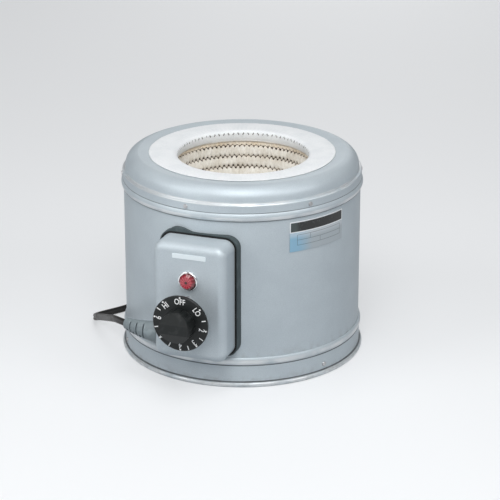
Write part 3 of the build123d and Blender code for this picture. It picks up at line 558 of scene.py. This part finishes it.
# White cloth collar: laps over the lip, rolls over into the mouth, sewn where it turns down
collar = {"outer": 86.2, "brim": 188.3, "lip": 187.8, "throat": 61.7, "edge": 64.4, "shoulder": 66.2,
          "soft": 3.4, "hang": 176.7, "low": 179.0, "back": 69.6, "under": 184.0, "reach": 14.2,
          "stitches": 84, "perStitch": 8, "fray": 0.55, "hole": 1.0, "oval": 1.5, "ovalWay": -70.0,
          "aside": 1.0, "sway": 0.6, "gather": 0.14, "flat": 12, "bend": 7, "drop": 4}


def collarProfile(c):
    # from under the outer edge, over the top and down the mouth to the hanging edge, to its hidden back
    line = [(c["outer"] - 1.6, c["lip"] + 0.15), (c["outer"] - 0.2, c["lip"] + 0.15)]
    line.append((c["outer"], c["lip"] + 0.5))
    for k in range(c["flat"]):
        t = k / (c["flat"] - 1)
        r = c["outer"] - 0.5 + (c["shoulder"] - c["outer"] + 0.5) * t
        line.append((r, c["brim"] + 0.15 - 0.35 * t + 0.25 * sin(pi * t)))
    wide = c["shoulder"] - c["throat"]
    for k in range(1, c["bend"]):
        a = pi / 2 * k / (c["bend"] - 1)
        line.append((c["shoulder"] - wide * sin(a), c["brim"] - 0.2 - c["soft"] * (1 - cos(a))))
    top = c["brim"] - 0.2 - c["soft"]
    for k in range(1, c["drop"] + 1):
        t = k / c["drop"]
        line.append((c["throat"] + (c["edge"] - c["throat"]) * t * t, top + (c["hang"] - top) * t))
    line += [(c["edge"] + 0.3, c["hang"] - 0.1), (c["edge"] + 0.5, c["hang"] + 1.0)]
    line += [(c["edge"] + 0.7, c["low"]), (c["back"], c["low"]), (c["back"], c["under"])]
    line += [(c["back"] + c["reach"], c["under"] + 0.3), (c["back"] + c["reach"] + 0.2, c["lip"] + 0.15)]
    return line


def clothCollar(c):
    profile = collarProfile(c)
    around = c["stitches"] * c["perStitch"]
    corners, faces = [], []
    n = len(profile)
    edgeRows = (1, 2, 3)                    # places in the profile: the frayed outer edge,
    flatEnd = 2 + c["flat"]                 # the last point of the flat top,
    sewn = flatEnd + c["bend"] - 1          # the row of stitches, where the roll ends,
    hanging = sewn + c["drop"]              # and the hanging edge
    ovalWay = radians(c["ovalWay"])         # the mouth is a little oval, as cloth sewn by hand is
    for i in range(around):
        a = 2 * pi * i / around
        way = Vector((cos(a), sin(a), 0))
        stitch, inStitch = divmod(i, c["perStitch"])
        gather = cos(2 * pi * inStitch / c["perStitch"])
        sway = noise.noise(way * 1.7 + Vector((4.0, 0, 0)))
        mouthShift = c["oval"] * cos(2 * (a - ovalWay)) + c["aside"] * cos(a) + c["sway"] * sway
        for j, (r, z) in enumerate(profile):
            drift = noise.noise(way * 9.0 + Vector((0, 0, r * 0.05)))
            fine = noise.noise(way * 60.0 + Vector((0, 0, r * 0.35 + z * 0.2)))
            if j in edgeRows:
                frayed = 0.55 * noise.noise(way * 46.0) + 0.6 * noise.noise(way * 120.0)
                r += c["fray"] * frayed + 0.25 * drift
            if 2 <= j <= hanging:
                z += 0.10 * drift + 0.09 * fine
                r += ease(j, flatEnd - 2, sewn) * mouthShift
                r += c["gather"] * gather * exp(-((j - sewn) / 1.5) ** 2)
                r += 0.15 * fine if j > flatEnd else 0.0
            if j == sewn + stitch % 2 and abs(inStitch - c["perStitch"] // 2) < 2:
                r += c["hole"]              # where the needle went in
            if hanging - 1 <= j <= hanging + 2:
                z += 0.35 * noise.noise(way * 90.0) + 0.4 * drift
            corners.append((r * cos(a) * mm, r * sin(a) * mm, z * mm))
    for i in range(around):
        m = (i + 1) % around
        for j in range(n):
            k = (j + 1) % n
            faces.append((i * n + j, m * n + j, m * n + k, i * n + k))
    return meshPiece("clothCollar", corners, faces)


collarCloth = clothCollar(collar)
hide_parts("cloth_collar")
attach(collarCloth, "casing")


def glassCloth(name, white, shade, weave=1.3, mouth=None):
    # mouth: the collar's sizes, where its stitches are and its hanging edge has browned
    f = Finish(name, {"Specular IOR Level": 0.2, "Sheen Weight": 0.3, "Sheen Roughness": 0.45})
    across = f.length(f.x, f.y)
    evenAt = 70.0 / pi          # radius at which the threads are as close both ways
    radialThread = (f.turn() * (radians(evenAt) * 2 * pi / weave)).math("SINE", 0.0)
    roundThread = (across * (2 * pi / weave)).math("SINE", 0.0)
    heightThread = (f.z * (2 * pi / weave)).math("SINE", 0.0)
    woven = radialThread * (roundThread + heightThread) * 0.25 + 0.5
    fuzz = f.noise(0.9, 4.0)
    blotch = f.noise(16.0, 3.0)
    colour = f.mix(f.between(fuzz * 0.4 + woven * 0.2 + blotch * 0.4, 0.3, 0.66), shade, white)
    if mouth:
        inside = 1 - f.between(across, mouth["throat"] + 3.6, mouth["throat"] + 4.8)
        browned = inside * (1 - f.between(f.z + fuzz * 1.6, mouth["hang"] + 0.6, mouth["hang"] + 2.8))
        colour = f.mix(browned * 0.6, colour, (0.62, 0.50, 0.36))
        row = mouth["brim"] - 0.85 * mouth["soft"]
        stitch = 2 * pi * mouth["throat"] / mouth["stitches"]
        turned = f.turn() * (mouth["stitches"] / 360.0)
        lower = (turned * 0.5 + 0.25).math("FRACT", 0.0) > 0.5      # every other stitch sits lower
        sideways = (turned.math("FRACT", 0.0) - 0.5) * stitch
        updown = f.z - row + lower
        away = f.length(sideways, updown)
        pricked = (1 - f.between(away, 0.6, 1.1)) * inside * f.between(f.noise(5.0), 0.30, 0.46)
        colour = f.mix(pricked * 0.95, colour, (0.09, 0.08, 0.075))
    f.feed("Base Color", colour)
    f.feed("Roughness", 0.82 + fuzz * 0.15)
    f.bump(woven, 0.10, 0.7)
    f.bump(fuzz, 0.16)
    return f


glassCloth("whiteCloth", (0.83, 0.85, 0.86), (0.72, 0.75, 0.77), mouth=collar).on(collarCloth)
glassCloth("packingWool", (0.82, 0.80, 0.66), (0.66, 0.62, 0.46), 4.0).on("glass_wool_packing")
glassCloth("leadSleeve", (0.78, 0.76, 0.68), (0.60, 0.57, 0.50), 0.8).on("heater_leads")
print("collar sewn")


# Dial marks, printed white; words and ticks stand at degrees clockwise from the top
dial = {"centre": 77.5, "front": 158.0, "print": 0.06, "wordR": 20.4, "dotR": 24.4, "dot": 0.85,
        "dotSteps": 16, "letter": 7.4, "digit": 7.8, "tickFrom": 21.0, "tickTo": 25.0, "tickW": 0.95,
        "narrow": 0.80, "bold": 0.012,
        "words": [("OFF", 0), ("LO", 50), ("2", 99), ("3", 141), ("4", 180), ("5", 231), ("6", 279),
                  ("HI", 319)],
        "ticks": [76, 121, 161, 206, 256, 300]}


def onDial(d, turned, radius, x, y, lift):
    # turned: degrees clockwise from the top, as the user sees it; x and y: across and out from there
    a = radians(turned)
    px = radius * sin(a) + x * cos(a) + y * sin(a)
    pz = radius * cos(a) - x * sin(a) + y * cos(a)
    return Vector((px * mm, -(d["front"] + lift) * mm, (d["centre"] + pz) * mm))


def wordMesh(text, size, bold):
    curve = bpy.data.curves.new("word", "FONT")
    curve.body, curve.size, curve.align_x, curve.align_y = text, size, "CENTER", "CENTER"
    curve.resolution_u = 4
    curve.offset = bold * size
    holder = bpy.data.objects.new("word", curve)
    bpy.context.scene.collection.objects.link(holder)
    bpy.context.view_layer.update()
    mesh = bpy.data.meshes.new_from_object(holder)
    points, polygons = [v.co.copy() for v in mesh.vertices], [tuple(p.vertices) for p in mesh.polygons]
    bpy.data.objects.remove(holder)
    return points, polygons


def dialMarks(d):
    corners, faces = [], []

    def lay(points, polygons, turned, radius):
        start = len(corners)
        corners.extend(onDial(d, turned, radius, p[0], p[1], d["print"]) for p in points)
        faces.extend(tuple(start + k for k in polygon) for polygon in polygons)

    count = d["dotSteps"]
    angles = [2 * pi * k / count for k in range(count)]
    for text, turned in d["words"]:
        points, polygons = wordMesh(text, d["letter"] if text.isalpha() else d["digit"], d["bold"])
        lay([(p.x * d["narrow"], p.y) for p in points], polygons, turned, d["wordR"])
        ring = [(d["dot"] * cos(a), d["dot"] * sin(a)) for a in angles]
        lay(ring, [tuple(range(count))], turned, d["dotR"])
    for turned in d["ticks"]:
        w, low, high = d["tickW"] / 2, d["tickFrom"], d["tickTo"]
        lay([(-w, low), (w, low), (w, high), (-w, high)], [(0, 1, 2, 3)], turned, 0.0)
    piece = meshPiece("dialMarks", corners, faces, False)
    body = bmesh.new()
    body.from_mesh(piece.data)
    flat = bmesh.ops.extrude_face_region(body, geom=body.faces[:])
    for v in [g for g in flat["geom"] if isinstance(g, bmesh.types.BMVert)]:
        v.co.y += 1.5 * d["print"] * mm
    bmesh.ops.recalc_face_normals(body, faces=body.faces)
    body.to_mesh(piece.data)
    body.free()
    return piece


whiteMarks = dialMarks(dial)
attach(whiteMarks, "knob")


def printedInk(name, colour, worn):
    f = Finish(name, {})
    wear = f.between(f.noise(0.8, 3.0), 0.56, 0.72)
    f.feed("Base Color", f.mix(wear * worn, colour, tuple(0.55 * c for c in colour)))
    f.feed("Roughness", 0.38 + wear * 0.2)
    f.bump(f.noise(0.4, 2.0), 0.01)
    return f


printedInk("markInk", (0.92, 0.93, 0.92), 0.12).on(whiteMarks)
printedInk("stripWhite", (0.84, 0.92, 0.95), 0.1).on("face_strip")
print("dial marked")


# Pilot lamp: the lens has spokes and rings moulded in, and a dark middle
lens = {"height": 110.4, "spokes": 12, "ringStep": 1.5, "eye": (0.5, 2.1), "rim": (4.6, 6.8)}


def chromePlate(name):
    f = Finish(name, {"Metallic": 1.0})
    haze = f.noise(2.4, 4.0)
    f.feed("Base Color", f.mix(f.between(haze, 0.45, 0.75), (0.86, 0.87, 0.88), (0.62, 0.63, 0.64)))
    f.feed("Roughness", 0.10 + haze * 0.12)
    f.bump(f.noise(1.5, 2.0), 0.001)
    return f


def redLens(name, g):
    f = Finish(name, {"Roughness": 0.12, "Coat Weight": 0.6, "Coat Roughness": 0.04, "IOR": 1.5})
    up = f.z - g["height"]
    out = f.length(f.x, up)
    spoke = (up.math("ARCTAN2", f.x) * g["spokes"]).math("SINE", 0.0) * 0.5 + 0.5
    ring = (out * (2 * pi / g["ringStep"])).math("SINE", 0.0) * 0.5 + 0.5
    glow = f.mix(spoke * 0.5 + ring * 0.3, (0.28, 0.012, 0.022), (0.80, 0.130, 0.170))
    eye = 1 - f.between(out, *g["eye"])
    rim = f.between(out, *g["rim"])
    inner = f.mix(eye, glow, (0.012, 0.002, 0.003))
    f.feed("Base Color", f.mix(rim * 0.8, inner, (0.10, 0.004, 0.008)))
    f.bump(spoke * 0.7 + ring * 0.3, 0.12, 0.8)
    return f


chromePlate("chromeBezel").on("lamp_bezel")
redLens("redLens", lens).on("lamp_lens")


# Nameplate: a printed foil with a dark heading, a pale field and ruled boxes, no words.
# Uprights: share of the width, from one height to another
plate = {"from": 42.7, "sweep": 32.0, "low": 126.5, "high": 154.5, "radius": 109.9, "edge": 0.9,
         "heading": 10.2, "rule": 0.14, "rulesAt": (5.8, 10.6, 15.4),
         "uprights": ((0.12, 5.8, 15.4), (0.94, 5.8, 15.4), (0.52, 5.8, 10.6), (0.34, 10.6, 15.4))}


def foilPlate(name, p):
    f = Finish(name, {"Specular IOR Level": 0.5})
    along = (f.turn() - p["from"]) * (p["radius"] * pi / 180)
    up = f.z - p["low"]
    wide, tall = p["radius"] * radians(p["sweep"]), p["high"] - p["low"]
    under = tall - p["heading"]
    stain = f.noise(9.0, 3.0)
    blue = 1 - f.between(along + stain * 6.0, wide * 0.14, wide * 0.46)
    field = f.mix(blue * 0.85, (0.42, 0.47, 0.50), (0.24, 0.47, 0.64))
    field = f.mix(f.between(up, under - 6.5, under - 1.0) * 0.45, field, (0.72, 0.76, 0.79))
    lines = 0.0
    first, last = p["uprights"][0][0], p["uprights"][1][0]
    ruled = f.band(along, wide * (first + last) / 2, wide * (last - first) / 2, 0.2)
    for height in p["rulesAt"]:
        lines = f.band(up, height, p["rule"], 0.12) * ruled + lines
    for share, low, high in p["uprights"]:
        upright = f.band(along, wide * share, p["rule"], 0.12)
        lines = upright * f.band(up, (low + high) / 2, (high - low) / 2, 0.1) + lines
    colour = f.mix(lines.math("MINIMUM", 1.0) * 0.7, field, (0.06, 0.075, 0.085))
    heading = f.between(up, under - 0.1, under + 0.1)
    inside = f.band(along, wide / 2, wide / 2 - p["edge"], 0.15)
    inside = inside * f.band(up, tall - p["heading"] / 2, p["heading"] / 2 - p["edge"], 0.15)
    darkening = f.between(along + stain * 4.0, wide * 0.12, wide * 0.22)
    shade = f.mix(darkening, (0.055, 0.070, 0.070), (0.020, 0.021, 0.021))
    colour = f.mix(heading, colour, f.mix(inside, (0.86, 0.88, 0.89), shade))
    wear = f.between(f.noise(3.0, 5.0), 0.60, 0.80)
    f.feed("Base Color", f.mix(wear * 0.2, colour, (0.42, 0.45, 0.47)))
    f.feed("Metallic", 0.3 - 0.3 * heading)
    f.feed("Roughness", 0.30 + wear * 0.22 + 0.12 * heading)
    f.bump(f.noise(6.0, 3.0), 0.02)
    return f


foilPlate("foilPlate", plate).on("nameplate")
print("small pieces finished")


# Stage and light: floor and lift are what the camera and mirrors see, bounce lights the object
stage = {
    "floor": (0.46, 0.47, 0.48), "bounce": (0.14, 0.17, 0.21), "lift": (0.43, 0.435, 0.44),
    "half": 8, "sky": (0.92, 0.95, 1.0, 1), "world": 0.16, "aim": (0, 0, 0.1),
    "lamps": [
        # name, place, diameter, watts
        ("front", (0.5, -1.3, 1.2), 0.9, 10.5),
        ("left", (-1.0, -1.0, 1.1), 0.9, 7.4),
        ("right", (1.4, -0.4, 1.0), 0.9, 6.8),
        ("near", (0.15, -0.45, 0.85), 0.5, 2.6),
        ("over", (0.0, 0.0, 1.5), 1.2, 2.0),
        ("low", (-0.9, -1.3, 0.30), 0.9, 3.0),
        ("back", (-0.4, 1.6, 0.6), 0.9, 2.6),
    ],
}


def makeStage(s):
    h = s["half"]
    floor = meshPiece("floor", [(-h, -h, 0), (h, -h, 0), (h, h, 0), (-h, h, 0)], [(0, 1, 2, 3)])
    f = Finish("floorPaint", {"Roughness": 0.75})
    seen = f.add("ShaderNodeLightPath", {}, {}, "Is Camera Ray")
    mirrored = f.add("ShaderNodeLightPath", {}, {}, "Is Glossy Ray")
    through = f.add("ShaderNodeLightPath", {}, {}, "Is Transmission Ray")
    shown = seen + mirrored + through
    pale = f.mix(f.noise(220.0, 2.0), s["floor"], tuple(0.985 * c for c in s["floor"]))
    f.feed("Base Color", f.mix(shown, s["bounce"], pale))
    f.feed("Emission Color", f.mix(shown, (0.0, 0.0, 0.0), s["lift"]))
    f.shader.inputs["Emission Strength"].default_value = 1.0
    f.on(floor)
    for name, place, size, watts in s["lamps"]:
        data = bpy.data.lights.new(name, "AREA")
        data.shape, data.size, data.energy = "DISK", size, watts
        lamp = bpy.data.objects.new(name, data)
        lamp.location = place
        lamp.rotation_euler = (Vector(s["aim"]) - Vector(place)).to_track_quat("-Z", "Y").to_euler()
        bpy.context.scene.collection.objects.link(lamp)
    world = bpy.data.worlds.new("studio")
    world.use_nodes = True
    sky = world.node_tree.nodes["Background"]
    sky.inputs["Color"].default_value = s["sky"]
    sky.inputs["Strength"].default_value = s["world"]
    bpy.context.scene.world = world


makeStage(stage)
bpy.context.scene.view_settings.view_transform = "Standard"
print("stage lit")
